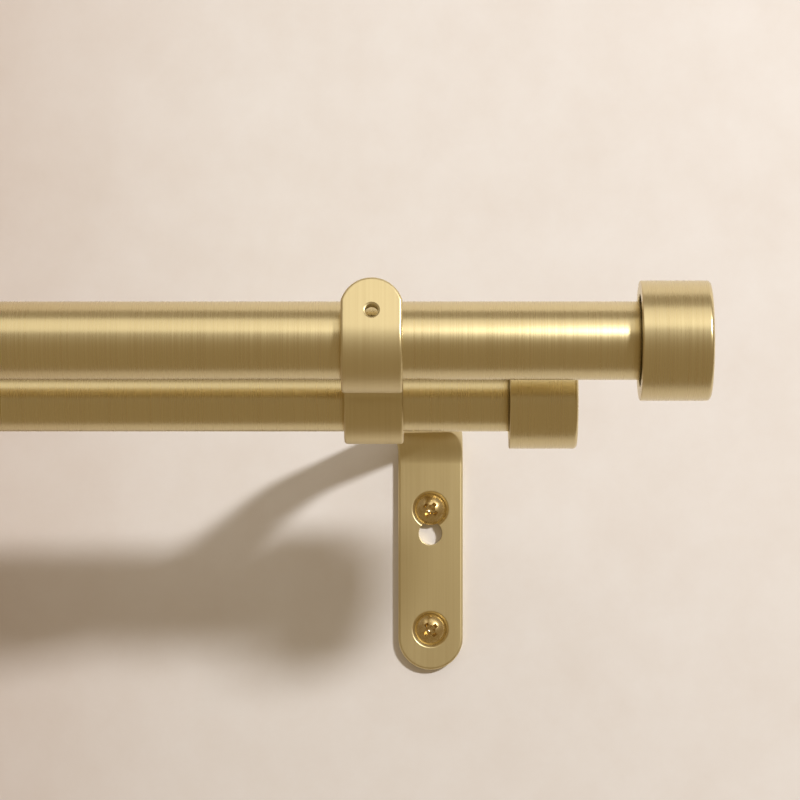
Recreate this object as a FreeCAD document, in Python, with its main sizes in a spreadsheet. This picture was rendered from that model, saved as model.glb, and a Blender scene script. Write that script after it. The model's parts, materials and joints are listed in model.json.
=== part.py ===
import FreeCAD, Part
import os
from math import asin, atan2, cos, pi, radians, sin, sqrt

import Sketcher

# Double curtain pole: a front and a back tube lie in two folded strap brackets on a wall,
# and each tube ends in a plain round cap that grips it through a moulded bush.
# Frame: the origin is the middle of the four wall screws, on the wall's surface.
# X runs along the poles, Y into the wall, Z up. All sizes are in millimetres.

Vector = FreeCAD.Vector
doc = FreeCAD.newDocument("double_curtain_pole")

# Driving dimensions
sizes = {
    # poles
    "front_pole_dia": 19.0,
    "back_pole_dia": 16.0,
    "pole_wall": 1.0,
    "front_axis_reach": 128.0,      # front pole's axis from the wall
    "pole_pitch": 34.0,             # front pole's axis in front of the back pole's
    "back_axis_height": 47.6,       # back pole's axis above the middle of the screws
    "front_axis_rise": 14.35,       # front pole's axis above the back pole's
    "bracket_spacing": 560.0,
    "front_overhang": 64.5,         # middle of a cup to the rim of the front cap
    "back_overhang": 33.9,
    # strap bracket
    "strap_thickness": 3.0,
    "cup_width": 14.8,
    "plate_width": 18.0,
    "cup_shift": 14.5,              # the cups stand this far to the left of the plate
    "joggle_end": 38.0,             # the arm has stepped sideways by this far from the wall
    "joggle_inside_radius": 3.0,    # by the plate
    "joggle_outside_radius": 10.0,
    "joggle_away_radius": 20.0,
    "seat_gap": 0.15,               # between a pole and its cup
    "wall_bend_radius": 9.0,
    "arm_blend_radius": 6.0,
    "shoulder_radius": 5.0,
    "bridge_blend_radius": 6.0,
    "back_cup_dip": 1.9,            # floor of the back cup below the arm
    "front_cup_dip": 2.0,           # floor of the front cup below the bridge
    "tongue_height": 15.2,          # tongue's tip above the front pole's axis
    "tongue_crown": 5.5,
    "tongue_lean": 18.0,            # degrees, back over the front pole
    "plate_foot": 11.35,            # plate's end below the lower screw
    "edge_break": 0.5,
    # holes in the bracket
    "screw_spacing": 33.5,
    "screw_hole_dia": 5.0,
    "sink_dia": 10.2,
    "key_hole_dia": 6.5,
    "key_hole_drop": 6.7,           # keyhole's lower circle below its upper one
    "set_hole_dia": 3.3,
    "set_hole_sink_dia": 3.8,
    "set_hole_height": 7.2,         # tapped hole above the front pole's axis
    # end caps and their bushes
    "cap_length": 17.0,
    "cap_mouth_gap": 1.8,           # open ring round the pole at the cap's rim
    "front_cap_wall": 3.2,
    "back_cap_wall": 2.5,
    "cap_end_wall": 3.0,
    "cap_edge_break": 0.7,
    "bush_recess": 4.0,             # rim to the bush
    "bush_gap": 0.05,
    "pole_end_gap": 0.1,
    # wall screws
    "head_dia": 8.8,
    "head_dome": 2.4,
    "head_gap": 0.1,
    "shank_dia": 4.2,
    "screw_length": 38.0,
    "screw_tip": 5.0,
    "cross_width": 1.2,
    "cross_length": 4.6,
    "cross_depth": 1.7,             # below the top of the dome
    # spare stock that a trimming cut takes away
    "trim": 2.0,
}

sheet = doc.addObject("Spreadsheet::Sheet", "sizes")
for row, (name, size) in enumerate(sizes.items(), start=1):
    sheet.set("A%d" % row, name)
    sheet.set("B%d" % row, str(size))
    sheet.setAlias("B%d" % row, name)
doc.recompute()

# Derived sizes, written once as formulas of the sheet
half_strap = "sizes.strap_thickness / 2"
back_axis_reach = "(sizes.front_axis_reach - sizes.pole_pitch)"
front_axis_height = "(sizes.back_axis_height + sizes.front_axis_rise)"
back_cup_radius = "(sizes.back_pole_dia / 2 + sizes.seat_gap + %s)" % half_strap
front_cup_radius = "(sizes.front_pole_dia / 2 + sizes.seat_gap + %s)" % half_strap
arm_height = "(sizes.back_axis_height - %s + sizes.back_cup_dip)" % back_cup_radius
bridge_height = "(%s - %s + sizes.front_cup_dip)" % (front_axis_height, front_cup_radius)
tongue_tip = "(%s + sizes.tongue_height)" % front_axis_height
foot_depth = "(sizes.screw_spacing / 2 + sizes.plate_foot)"
strap_reach = "(sizes.front_axis_reach + %s + %s)" % (front_cup_radius, half_strap)
tongue_lean = "(sizes.tongue_lean * 1 deg)"
set_hole_run = "((sizes.set_hole_height - (%s + %s) * sin(%s)) / cos(%s))" % (
    front_cup_radius, half_strap, tongue_lean, tongue_lean)
set_hole_reach = "(sizes.front_axis_reach + (%s + %s) * cos(%s) - %s * sin(%s))" % (
    front_cup_radius, half_strap, tongue_lean, set_hole_run, tongue_lean)
cap_depth = "(sizes.cap_length - sizes.cap_end_wall)"
pole_insert = "(%s - sizes.pole_end_gap)" % cap_depth
head_sink = "(sizes.sink_dia / 2 - sizes.head_dia / 2 - sizes.head_gap)"


def value(formula):
    return float(sheet.evalExpression(formula))


def place(item, x="0", y="0", z="0", axis=None, angle=0.0):
    if axis:
        item.Placement = FreeCAD.Placement(Vector(), FreeCAD.Rotation(axis, angle))
    for letter, formula in zip("xyz", (x, y, z)):
        item.setExpression("Placement.Base." + letter, formula)


def new_body(label):
    body = doc.addObject("PartDesign::Body", label)
    body.Label = label
    return body


def new_sketch(body, name, role, offset=None):
    sketch = body.newObject("Sketcher::SketchObject", name)
    plane = next(item for item in body.Origin.OriginFeatures if item.Role == role)
    sketch.AttachmentSupport = (plane, "")
    sketch.MapMode = "FlatFace"
    if offset:
        sketch.setExpression("AttachmentOffset.Base.z", offset)
    return sketch


def bind(sketch, formula, kind, *where):
    # a size of the sketch that follows the sheet
    index = sketch.addConstraint(Sketcher.Constraint(kind, *where, value(formula)))
    sketch.setExpression("Constraints[%d]" % index, formula)


def fix_point(sketch, geo, pos, x, y):
    # a point's distance from each axis; a formula that starts with a minus lies on the negative side
    for kind, formula, axis in (("DistanceX", x, -2), ("DistanceY", y, -1)):
        if formula == "0":
            sketch.addConstraint(Sketcher.Constraint("PointOnObject", geo, pos, axis))
        elif formula.startswith("-"):
            bind(sketch, formula[1:], kind, geo, pos, -1, 1)
        else:
            bind(sketch, formula, kind, -1, 1, geo, pos)


def outline(sketch, points):
    # closed run of straight lines through points that follow the sheet
    spots = [Vector(value(x), value(y), 0) for x, y in points]
    first = sketch.GeometryCount
    count = len(points)
    for number in range(count):
        sketch.addGeometry(Part.LineSegment(spots[number], spots[(number + 1) % count]))
    for number, (x, y) in enumerate(points):
        before = first + (number - 1) % count
        sketch.addConstraint(Sketcher.Constraint("Coincident", before, 2, first + number, 1))
        fix_point(sketch, first + number, 1, x, y)


def arc(center, radius, start, end):
    return Part.ArcOfCircle(Part.Circle(center, Vector(0, 0, 1), radius), start, end)


def break_edges(body, name, edges, size):
    base = body.Tip
    names = []
    for number, edge in enumerate(base.Shape.Edges, start=1):
        if any(edge.isSame(wanted) for wanted in edges):
            names.append("Edge%d" % number)
    broken = body.newObject("PartDesign::Chamfer", name)
    broken.Base = (base, names)
    broken.setExpression("Size", size)


def cut_away(body, name, sketch, reverse=False, depth=None):
    doc.recompute()
    before = body.Shape.Volume
    pocket = body.newObject("PartDesign::Pocket", name)
    pocket.Profile = sketch
    pocket.Reversed = reverse
    if depth:
        pocket.setExpression("Length", depth)
    else:
        pocket.Type = "ThroughAll"
    doc.recompute()
    if body.Shape.Volume >= before:
        raise RuntimeError("%s removes nothing" % pocket.Label)
    return pocket


# Tubes
def make_pole(label, diameter, overhang, reach, height):
    body = new_body(label)
    ring = new_sketch(body, label + "_ring", "YZ_Plane")
    for number, radius in enumerate((diameter + " / 2", diameter + " / 2 - sizes.pole_wall")):
        ring.addGeometry(Part.Circle(Vector(), Vector(0, 0, 1), value(radius)))
        ring.addConstraint(Sketcher.Constraint("Coincident", number, 3, -1, 1))
        bind(ring, radius, "Radius", number)
    tube = body.newObject("PartDesign::Pad", label + "_tube")
    tube.Profile = ring
    length = "sizes.bracket_spacing + 2 * (%s + %s)" % (overhang, pole_insert)
    tube.setExpression("Length", length)
    place(body, "-sizes.cup_shift - (%s) / 2" % length, "-" + reach, height)
    return body


# Turned and moulded rings, drawn as half sections of radius and height
def make_turned(label, section):
    body = new_body(label)
    sketch = new_sketch(body, label + "_section", "XZ_Plane")
    outline(sketch, section)
    spin = body.newObject("PartDesign::Revolution", label + "_turned")
    spin.Profile = sketch
    spin.ReferenceAxis = (sketch, ["V_Axis"])
    return body


def make_cap(label, pole_dia, wall):
    bore = "%s / 2 + sizes.cap_mouth_gap" % pole_dia
    outside = bore + " + " + wall
    body = make_turned(label, [
        (bore, "0"),
        (outside, "0"),
        (outside, "sizes.cap_length"),
        ("0", "sizes.cap_length"),
        ("0", cap_depth),
        (bore, cap_depth),
    ])
    doc.recompute()
    far_end = value("sizes.cap_length")
    face_edges = [edge for edge in body.Tip.Shape.Edges if edge.BoundBox.ZMin > far_end - 1e-6]
    break_edges(body, label + "_face_edge", face_edges, "sizes.cap_edge_break")
    return body


def make_bush(label, pole_dia):
    inside = "%s / 2 + sizes.bush_gap" % pole_dia
    outside = "%s / 2 + sizes.cap_mouth_gap - sizes.bush_gap" % pole_dia
    return make_turned(label, [
        (inside, "sizes.bush_recess"),
        (outside, "sizes.bush_recess"),
        (outside, cap_depth),
        (inside, cap_depth),
    ])


# Raised countersunk wall screw: height 0 is the front face of the plate
def make_screw(label):
    body = new_body(label)
    sketch = new_sketch(body, label + "_section", "XZ_Plane")
    rim_height = "-" + head_sink
    top = "(sizes.head_dome - %s)" % head_sink
    neck = "-(%s + sizes.head_dia / 2 - sizes.shank_dia / 2)" % head_sink
    shoulder = "-(sizes.screw_length - sizes.screw_tip)"
    points = [
        ("0", top),
        ("0", "-sizes.screw_length"),
        ("sizes.shank_dia / 2", shoulder),
        ("sizes.shank_dia / 2", neck),
        ("sizes.head_dia / 2", rim_height),
    ]
    spots = [Vector(value(x), value(y), 0) for x, y in points]
    for number in range(len(points) - 1):
        sketch.addGeometry(Part.LineSegment(spots[number], spots[number + 1]))
        fix_point(sketch, number, 1, *points[number])
    last = len(points) - 2
    for number in range(last):
        sketch.addConstraint(Sketcher.Constraint("Coincident", number, 2, number + 1, 1))
    fix_point(sketch, last, 2, *points[-1])
    rise = value("sizes.head_dome")
    half = value("sizes.head_dia / 2")
    ball = (half * half + rise * rise) / (2 * rise)
    center = Vector(0, spots[0].y - ball, 0)
    dome = last + 1
    start = atan2(spots[-1].y - center.y, half)
    sketch.addGeometry(arc(center, ball, start, pi / 2))
    sketch.addConstraint(Sketcher.Constraint("Coincident", last, 2, dome, 1))
    sketch.addConstraint(Sketcher.Constraint("Coincident", dome, 2, 0, 1))
    sketch.addConstraint(Sketcher.Constraint("PointOnObject", dome, 3, -2))
    spin = body.newObject("PartDesign::Revolution", label + "_turned")
    spin.Profile = sketch
    spin.ReferenceAxis = (sketch, ["V_Axis"])
    for letter, wide, tall in (("a", "length", "width"), ("b", "width", "length")):
        slot = new_sketch(body, label + "_slot_" + letter, "XY_Plane", top)
        x = "sizes.cross_%s / 2" % wide
        y = "sizes.cross_%s / 2" % tall
        outline(slot, [("-" + x, "-" + y), (x, "-" + y), (x, y), ("-" + x, y)])
        cut_away(body, label + "_cross_" + letter, slot, depth="sizes.cross_depth")
    return body


# Folded strap bracket
def strap_path(body, label):
    # middle line of the strap from the plate's foot to the tongue's tip, in the Y-Z plane
    sketch = new_sketch(body, label + "_path", "YZ_Plane")
    strap = value(half_strap)
    bend = value("sizes.wall_bend_radius + " + half_strap)
    arm = value(arm_height)
    bridge = value(bridge_height)
    back_radius = value(back_cup_radius)
    front_radius = value(front_cup_radius)
    back = Vector(-value(back_axis_reach), value("sizes.back_axis_height"), 0)
    front = Vector(-value("sizes.front_axis_reach"), value(front_axis_height), 0)

    def blend(cup, cup_radius, level, radius, side):
        # middle of an arc that joins a level run to a cup, on the wall's side (1) or the room's (-1)
        drop = level - radius - cup.y
        return Vector(cup.x + side * sqrt((cup_radius + radius) ** 2 - drop ** 2), level - radius, 0)

    def heading(origin, target):
        return atan2(target.y - origin.y, target.x - origin.x)

    bend_at = Vector(-strap - bend, arm - bend, 0)
    arm_blend = value("sizes.arm_blend_radius")
    shoulder = value("sizes.shoulder_radius")
    bridge_blend = value("sizes.bridge_blend_radius")
    arm_at = blend(back, back_radius, arm, arm_blend, 1)
    shoulder_at = blend(back, back_radius, bridge, shoulder, -1)
    bridge_at = blend(front, front_radius, bridge, bridge_blend, 1)
    foot = Vector(-strap, -value(foot_depth + " + sizes.trim"), 0)
    lean = radians(value("sizes.tongue_lean"))
    leave = front + Vector(-cos(lean), sin(lean), 0) * front_radius
    tongue_rise = value(tongue_tip + " + sizes.trim") - leave.y
    tip = leave + Vector(sin(lean), cos(lean), 0) * (tongue_rise / cos(lean))
    turn = 2 * pi
    for shape in (
        Part.LineSegment(foot, Vector(-strap, bend_at.y, 0)),
        arc(bend_at, bend, 0, pi / 2),
        Part.LineSegment(Vector(bend_at.x, arm, 0), Vector(arm_at.x, arm, 0)),
        arc(arm_at, arm_blend, pi / 2, heading(arm_at, back) % turn),
        arc(back, back_radius, heading(back, shoulder_at) % turn, heading(back, arm_at) % turn),
        arc(shoulder_at, shoulder, heading(shoulder_at, back), pi / 2),
        Part.LineSegment(Vector(shoulder_at.x, bridge, 0), Vector(bridge_at.x, bridge, 0)),
        arc(bridge_at, bridge_blend, pi / 2, heading(bridge_at, front) % turn),
        arc(front, front_radius, pi - lean, heading(front, bridge_at) % turn),
        Part.LineSegment(leave, tip),
    ):
        sketch.addGeometry(shape)
    plate, wall_bend, arm_run, arm_arc, back_cup = range(5)
    shoulder_arc, bridge_run, bridge_arc, front_cup, tongue = range(5, 10)
    for before, before_end, after, after_end in (
        (plate, 2, wall_bend, 1),
        (wall_bend, 2, arm_run, 1),
        (arm_run, 2, arm_arc, 1),
        (arm_arc, 2, back_cup, 2),
        (back_cup, 1, shoulder_arc, 1),
        (shoulder_arc, 2, bridge_run, 1),
        (bridge_run, 2, bridge_arc, 1),
        (bridge_arc, 2, front_cup, 2),
        (front_cup, 1, tongue, 1),
    ):
        sketch.addConstraint(Sketcher.Constraint("Tangent", before, before_end, after, after_end))
    sketch.addConstraint(Sketcher.Constraint("Vertical", plate))
    slope = sketch.addConstraint(Sketcher.Constraint("Angle", tongue, pi / 2 - lean))
    sketch.setExpression("Constraints[%d]" % slope, "90 deg - " + tongue_lean)
    for level in (arm_run, bridge_run):
        sketch.addConstraint(Sketcher.Constraint("Horizontal", level))
    for curve, radius in (
        (wall_bend, "sizes.wall_bend_radius + " + half_strap),
        (arm_arc, "sizes.arm_blend_radius"),
        (back_cup, back_cup_radius),
        (shoulder_arc, "sizes.shoulder_radius"),
        (bridge_arc, "sizes.bridge_blend_radius"),
        (front_cup, front_cup_radius),
    ):
        bind(sketch, radius, "Radius", curve)
    fix_point(sketch, plate, 1, "-" + half_strap, "-(%s + sizes.trim)" % foot_depth)
    fix_point(sketch, back_cup, 3, "-" + back_axis_reach, "sizes.back_axis_height")
    fix_point(sketch, front_cup, 3, "-sizes.front_axis_reach", front_axis_height)
    bind(sketch, arm_height, "DistanceY", -1, 1, arm_run, 1)
    bind(sketch, bridge_height, "DistanceY", -1, 1, bridge_run, 1)
    bind(sketch, tongue_tip + " + sizes.trim", "DistanceY", -1, 1, tongue, 2)
    return sketch


def joggled_side(sketch, wall_x, cup_x, first_radius):
    # one side of the strap seen from above: straight, a tight arc, a slant, a wider arc, straight
    first = sketch.GeometryCount
    start = value("sizes.strap_thickness")
    end = value("sizes.joggle_end")
    rear = value("sizes.trim")
    far = value(strap_reach + " + sizes.trim")
    near_radius = value(first_radius)
    far_radius = value("sizes.joggle_away_radius")
    x0 = value(wall_x)
    x1 = value(cup_x)
    run = end - start
    both = near_radius + far_radius
    spare = both - (x0 - x1)
    turned = asin(both / sqrt(run ** 2 + spare ** 2)) - atan2(spare, run)
    near_at = Vector(x0 - near_radius, -start, 0)
    far_at = Vector(x1 + far_radius, -end, 0)
    slant = Vector(cos(turned), -sin(turned), 0)
    sketch.addGeometry(Part.LineSegment(Vector(x0, rear, 0), Vector(x0, -start, 0)))
    sketch.addGeometry(arc(near_at, near_radius, -turned, 0))
    sketch.addGeometry(Part.LineSegment(near_at + slant * near_radius, far_at - slant * far_radius))
    sketch.addGeometry(arc(far_at, far_radius, pi - turned, pi))
    sketch.addGeometry(Part.LineSegment(Vector(x1, -end, 0), Vector(x1, -far, 0)))
    near, near_arc, slope, far_arc, away = range(first, first + 5)
    for before, before_end, after, after_end in (
        (near, 2, near_arc, 2),
        (near_arc, 1, slope, 1),
        (slope, 2, far_arc, 1),
        (far_arc, 2, away, 1),
    ):
        sketch.addConstraint(Sketcher.Constraint("Tangent", before, before_end, after, after_end))
    sketch.addConstraint(Sketcher.Constraint("Vertical", near))
    sketch.addConstraint(Sketcher.Constraint("Vertical", away))
    bind(sketch, first_radius, "Radius", near_arc)
    bind(sketch, "sizes.joggle_away_radius", "Radius", far_arc)
    fix_point(sketch, near, 1, wall_x, "sizes.trim")
    bind(sketch, "sizes.strap_thickness", "DistanceY", near, 2, -1, 1)
    bind(sketch, "sizes.joggle_end", "DistanceY", away, 1, -1, 1)
    fix_point(sketch, away, 2, cup_x, "-(%s + sizes.trim)" % strap_reach)
    return near, away


def trim_plan(body, label):
    # takes the wide folded sheet down to the strap's outline seen from above
    sketch = new_sketch(body, label + "_plan", "XY_Plane", tongue_tip + " + 2 * sizes.trim")
    right = joggled_side(sketch, "sizes.plate_width / 2", "-(sizes.cup_shift - sizes.cup_width / 2)",
                         "sizes.joggle_outside_radius")
    left = joggled_side(sketch, "-sizes.plate_width / 2", "-(sizes.cup_shift + sizes.cup_width / 2)",
                        "sizes.joggle_inside_radius")
    for right_line, left_line, end in ((right[0], left[0], 1), (right[1], left[1], 2)):
        spots = [sketch.getPoint(line, end) for line in (right_line, left_line)]
        across = sketch.addGeometry(Part.LineSegment(*spots))
        sketch.addConstraint(Sketcher.Constraint("Coincident", right_line, end, across, 1))
        sketch.addConstraint(Sketcher.Constraint("Coincident", left_line, end, across, 2))
    wide = "(sizes.cup_shift + sizes.cup_width + sizes.plate_width)"
    outline(sketch, [
        ("-" + wide, "2 * sizes.trim"),
        (wide, "2 * sizes.trim"),
        (wide, "-(%s + 2 * sizes.trim)" % strap_reach),
        ("-" + wide, "-(%s + 2 * sizes.trim)" % strap_reach),
    ])
    cut_away(body, label + "_trimmed", sketch)


def trim_end(body, name, center_x, half_width, crown, end, tip):
    # rounds an end of the strap seen from the front: end is its distance from the origin's level,
    # upwards for the tongue (tip 1) or downwards for the plate's foot (tip -1)
    sketch = new_sketch(body, name, "XZ_Plane")
    arc_radius = "((%s)^2 / (2 * %s) + %s / 2)" % (half_width, crown, crown)
    center_level = "(%s - %s)" % (end, arc_radius)
    spring_level = "(%s - %s)" % (end, crown)
    middle = value(center_x)
    half = value(half_width)
    radius = value(arc_radius)
    spring = tip * value(spring_level)
    spread = atan2(half, radius - value(crown))
    side = half + value("sizes.trim")
    beyond = tip * value(end + " + 2 * sizes.trim")
    center = Vector(middle, tip * value(center_level), 0)
    sketch.addGeometry(arc(center, radius, tip * pi / 2 - spread, tip * pi / 2 + spread))
    spots = [
        Vector(middle - half, spring, 0),
        Vector(middle - side, spring, 0),
        Vector(middle - side, beyond, 0),
        Vector(middle + side, beyond, 0),
        Vector(middle + side, spring, 0),
        Vector(middle + half, spring, 0),
    ]
    for first, second in zip(spots, spots[1:]):
        sketch.addGeometry(Part.LineSegment(first, second))
    right, left = (1, 2) if tip > 0 else (2, 1)
    sketch.addConstraint(Sketcher.Constraint("Coincident", 0, left, 1, 1))
    sketch.addConstraint(Sketcher.Constraint("Coincident", 0, right, 5, 2))
    for number in range(1, 5):
        sketch.addConstraint(Sketcher.Constraint("Coincident", number, 2, number + 1, 1))
    for number in range(1, 6):
        sketch.addConstraint(Sketcher.Constraint("Horizontal" if number % 2 else "Vertical", number))

    def level(formula, geo, pos):
        ends = (-1, 1, geo, pos) if tip > 0 else (geo, pos, -1, 1)
        bind(sketch, formula, "DistanceY", *ends)

    if center_x == "0":
        sketch.addConstraint(Sketcher.Constraint("PointOnObject", 0, 3, -2))
    else:
        bind(sketch, center_x[1:], "DistanceX", 0, 3, -1, 1)
    bind(sketch, arc_radius, "Radius", 0)
    level(center_level, 0, 3)
    level(spring_level, 0, right)
    level(spring_level, 0, left)
    level(end + " + 2 * sizes.trim", 2, 2)
    bind(sketch, "sizes.trim", "DistanceX", 1, 2, 1, 1)
    bind(sketch, "sizes.trim", "DistanceX", 5, 2, 5, 1)
    cut_away(body, name + "_cut", sketch, reverse=True)


def drill(body, name, face_depth, places, diameter, sink=None, tongue_level=None):
    # round holes along Y, from a front face at face_depth from the wall, with a 90 degree countersink;
    # with a tongue level they are square to the leaning tongue, and no deeper than the strap needs
    sketch = new_sketch(body, name + "_marks", "XZ_Plane", face_depth)
    if tongue_level:
        tilt = FreeCAD.Rotation(Vector(-1, 0, 0), value("sizes.tongue_lean"))
        sketch.AttachmentOffset = FreeCAD.Placement(Vector(), tilt)
        sketch.setExpression("AttachmentOffset.Base.y", tongue_level)
        sketch.setExpression("AttachmentOffset.Rotation.Angle", tongue_lean)
    for number, (x, z) in enumerate(places):
        sketch.addGeometry(Part.Circle(Vector(value(x), value(z), 0), Vector(0, 0, 1), value(diameter) / 2))
        fix_point(sketch, number, 3, x, z)
        bind(sketch, diameter, "Diameter", number)
    if sink is None:
        cut_away(body, name, sketch)
        return
    doc.recompute()
    before = body.Shape.Volume
    hole = body.newObject("PartDesign::Hole", name)
    hole.Profile = sketch
    doc.recompute()
    if tongue_level:
        hole.DepthType = "Dimension"
        hole.DrillPoint = "Flat"
        hole.setExpression("Depth", "2 * sizes.strap_thickness")
    else:
        hole.DepthType = "ThroughAll"
    hole.setExpression("Diameter", diameter)
    hole.HoleCutType = "Countersink"
    hole.HoleCutCustomValues = True
    hole.setExpression("HoleCutDiameter", sink)
    hole.HoleCutCountersinkAngle = 90
    doc.recompute()
    if body.Shape.Volume >= before:
        raise RuntimeError("%s removes nothing" % hole.Label)


def outer_edges(shape):
    # edges round the strap's outer side, up to the tongue's crown, which stays square:
    # the side is the plate's front face and what runs on smoothly from it
    front = -value("sizes.strap_thickness")
    tip = value(tongue_tip)
    plate = next(face for face in shape.Faces
                 if abs(face.BoundBox.YMin - front) < 1e-6 and face.BoundBox.YLength < 1e-6)
    skin = [plate]
    to_visit = [plate]
    edges = []
    while to_visit:
        face = to_visit.pop()
        for edge in face.Edges:
            middle = edge.valueAt((edge.FirstParameter + edge.LastParameter) / 2)
            other = next(near for near in shape.ancestorsOfType(edge, Part.Face) if not near.isSame(face))
            normals = [side.normalAt(*side.Surface.parameter(middle)) for side in (face, other)]
            if normals[0].dot(normals[1]) < 0.5:
                if edge.BoundBox.ZMax < tip - 1e-6:
                    edges.append(edge)
            elif not any(other.isSame(known) for known in skin):
                skin.append(other)
                to_visit.append(other)
    return edges


def make_bracket(label):
    body = new_body(label)
    path = strap_path(body, label)
    section = new_sketch(body, label + "_section", "XY_Plane", "-(%s + sizes.trim)" % foot_depth)
    left = "-max(sizes.cup_shift + sizes.cup_width / 2; sizes.plate_width / 2)"
    right = "sizes.plate_width / 2"
    outline(section, [
        (left, "-sizes.strap_thickness"),
        (right, "-sizes.strap_thickness"),
        (right, "0"),
        (left, "0"),
    ])
    doc.recompute()
    folded = body.newObject("PartDesign::AdditivePipe", label + "_folded")
    folded.Profile = section
    folded.Spine = (path, [])
    trim_plan(body, label)
    trim_end(body, label + "_tongue", "-sizes.cup_shift", "sizes.cup_width / 2",
             "sizes.tongue_crown", tongue_tip, 1)
    trim_end(body, label + "_foot", "0", "sizes.plate_width / 2",
             "(sizes.plate_width / 2)", foot_depth, -1)
    break_edges(body, label + "_broken_edges", outer_edges(body.Tip.Shape), "sizes.edge_break")
    upper = "sizes.screw_spacing / 2"
    drill(body, label + "_screw_holes", "sizes.strap_thickness",
          [("0", upper), ("0", "-" + upper)], "sizes.screw_hole_dia", "sizes.sink_dia")
    drill(body, label + "_key_hole", "sizes.strap_thickness",
          [("0", "%s - sizes.key_hole_drop" % upper)], "sizes.key_hole_dia")
    drill(body, label + "_set_hole", set_hole_reach, [("-sizes.cup_shift", "0")],
          "sizes.set_hole_dia", "sizes.set_hole_sink_dia",
          "%s + sizes.set_hole_height" % front_axis_height)
    return body


poles = {
    "front": (
        "sizes.front_pole_dia", "sizes.front_overhang", "sizes.front_axis_reach", front_axis_height,
    ),
    "back": (
        "sizes.back_pole_dia", "sizes.back_overhang", back_axis_reach, "sizes.back_axis_height",
    ),
}
sides = {"right": 1, "left": -1}
subparts = []

for pole, (diameter, overhang, reach, height) in poles.items():
    subparts.append(make_pole(pole + "_pole", diameter, overhang, reach, height))
    for side, sign in sides.items():
        rim = "-sizes.cup_shift + %d * (sizes.bracket_spacing / 2 + %s)" % (sign, overhang)
        cap = make_cap("%s_cap_%s" % (pole, side), diameter, "sizes.%s_cap_wall" % pole)
        bush = make_bush("%s_bush_%s" % (pole, side), diameter)
        for ring in (cap, bush):
            place(ring, rim, "-" + reach, height, Vector(0, 1, 0), sign * 90)
            subparts.append(ring)

screws = []
for side, sign in sides.items():
    middle = "%d * sizes.bracket_spacing / 2" % sign
    bracket = make_bracket("bracket_" + side)
    place(bracket, middle)
    subparts.append(bracket)
    for level, up in (("upper", 1), ("lower", -1)):
        screw = make_screw("%s_screw_%s" % (level, side))
        height = "%d * sizes.screw_spacing / 2" % up
        place(screw, middle, "-sizes.strap_thickness", height, Vector(1, 0, 0), 90)
        screws.append(screw)

# the four wall screws are one group of separate solids
group = doc.addObject("Part::Compound", "wall_screws")
group.Links = screws
subparts.append(group)

doc.recompute()
for item in doc.Objects:
    if "Invalid" in item.State or "Error" in item.State:
        raise RuntimeError("%s failed: %s" % (item.Label, item.State))
for item in subparts:
    wanted = len(screws) if item is group else 1
    if item.Shape.isNull() or not item.Shape.isValid() or len(item.Shape.Solids) != wanted:
        raise RuntimeError("%s is not %d sound solid" % (item.Label, wanted))

os.makedirs("parts", exist_ok=True)
for item in subparts:
    item.Shape.exportStep("parts/%s.step" % item.Label)
    print("%-20s %9.1f mm3" % (item.Label, item.Shape.Volume))
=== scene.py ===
import json
import math

import bmesh
import bpy
from mathutils import Matrix, Vector


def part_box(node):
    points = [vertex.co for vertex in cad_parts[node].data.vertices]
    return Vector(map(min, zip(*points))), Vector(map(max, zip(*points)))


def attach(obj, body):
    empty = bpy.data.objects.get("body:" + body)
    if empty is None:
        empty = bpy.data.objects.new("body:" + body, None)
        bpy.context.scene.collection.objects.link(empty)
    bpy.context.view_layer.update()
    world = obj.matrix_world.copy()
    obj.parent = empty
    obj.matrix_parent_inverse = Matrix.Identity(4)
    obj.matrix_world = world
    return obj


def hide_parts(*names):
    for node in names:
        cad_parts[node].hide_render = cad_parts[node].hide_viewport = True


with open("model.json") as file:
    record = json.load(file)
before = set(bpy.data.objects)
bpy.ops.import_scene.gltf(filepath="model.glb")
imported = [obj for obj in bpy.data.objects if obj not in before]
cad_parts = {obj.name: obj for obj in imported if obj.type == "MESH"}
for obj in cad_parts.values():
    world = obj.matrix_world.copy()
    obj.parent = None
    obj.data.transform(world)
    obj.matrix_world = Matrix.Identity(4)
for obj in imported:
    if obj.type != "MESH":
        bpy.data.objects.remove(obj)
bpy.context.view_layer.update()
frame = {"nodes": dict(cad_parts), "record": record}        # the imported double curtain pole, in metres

mm = 0.001
brushUv = "brush"  # U runs across the brush lines, V along them
weldGap = 1e-7     # m, ring points this close are one
print("frame:", len(frame["nodes"]), "nodes")


# Small tools

def linearColour(hexText):
    parts = [int(hexText[at:at + 2], 16) / 255 for at in (0, 2, 4)]
    return [part / 12.92 if part <= 0.04045 else ((part + 0.055) / 1.055) ** 2.4 for part in parts] + [1.0]


def addNode(tree, kind, settings, links):
    node = tree.nodes.new(kind)
    for name, value in settings.items():
        if isinstance(name, str) and hasattr(node, name):
            setattr(node, name, value)
        else:
            node.inputs[name].default_value = value
    for name, source in links.items():
        tree.links.new(source, node.inputs[name])
    return node


def addPiece(name, bm, material, slot, *nodes):
    mesh = bpy.data.meshes.new(name)
    bm.to_mesh(mesh)
    bm.free()
    mesh.materials.append(material)
    piece = bpy.data.objects.new(name, mesh)
    bpy.context.scene.collection.objects.link(piece)
    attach(piece, "root")
    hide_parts(*nodes)
    return piece


def mountNamed(name):
    return next(mount for mount in frame["record"]["mounts"] if mount["name"] == name)


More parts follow.
